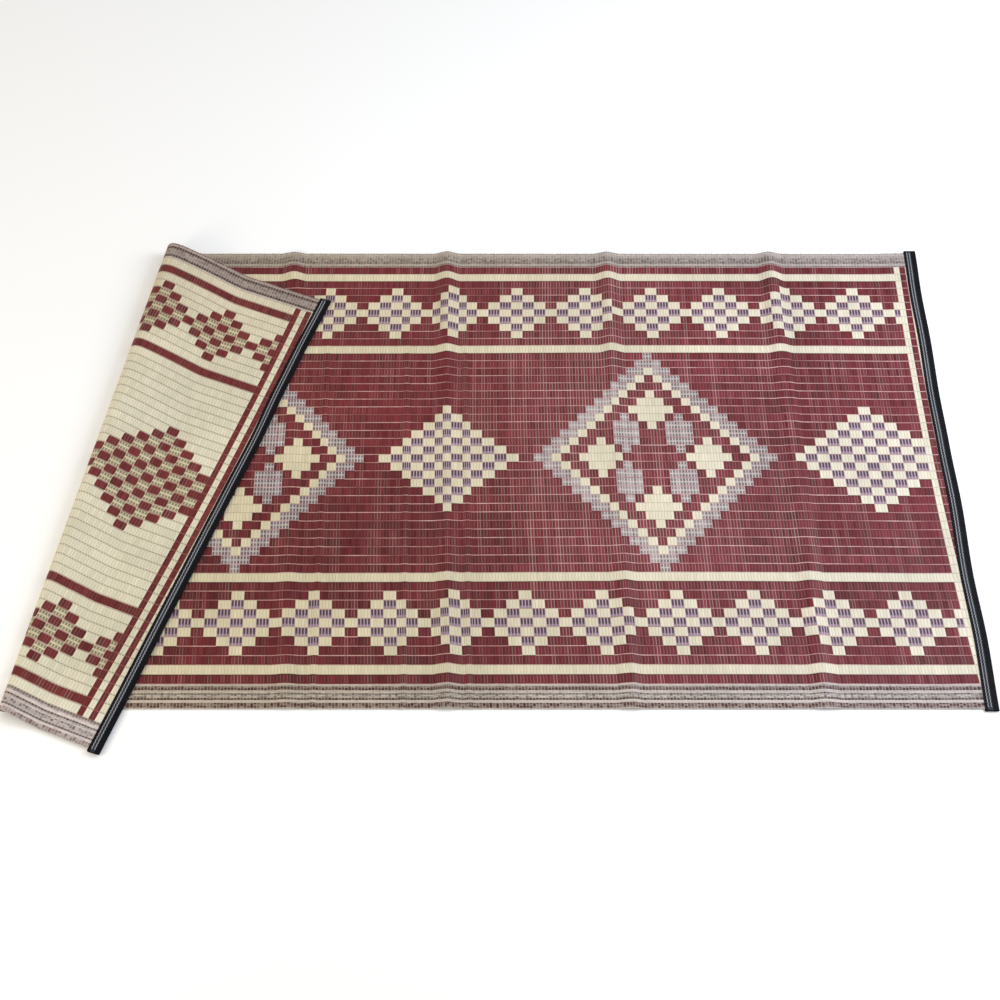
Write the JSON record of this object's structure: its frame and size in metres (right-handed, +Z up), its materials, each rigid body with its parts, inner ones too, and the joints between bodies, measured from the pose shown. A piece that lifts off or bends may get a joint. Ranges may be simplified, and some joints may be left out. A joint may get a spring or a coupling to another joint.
{
  "type": "woven plastic mat",
  "caption": "Reversible woven straw floor mat lying on the floor, one end folded back at a slant, with a black tape bound over each short end.",
  "frame": {"origin": "on the floor, under the middle of the mat's outline as it lies", "axes": "+X along the mat towards its flat end, +Y across it towards the far long edge, +Z up"},
  "size_m": [1.5916, 1.0888, 0.0395],
  "materials": {
    "woven_straw": "woven polypropylene straw, satin, maroon with cream motifs on the face and the colours exchanged on the reverse",
    "black_tape": "black woven edge tape with two ribbed stitch lines"
  },
  "bodies": {
    "root": {"mat": "woven_straw", "binding_right": "black_tape", "binding_left": "black_tape"}
  },
  "joints": []
}
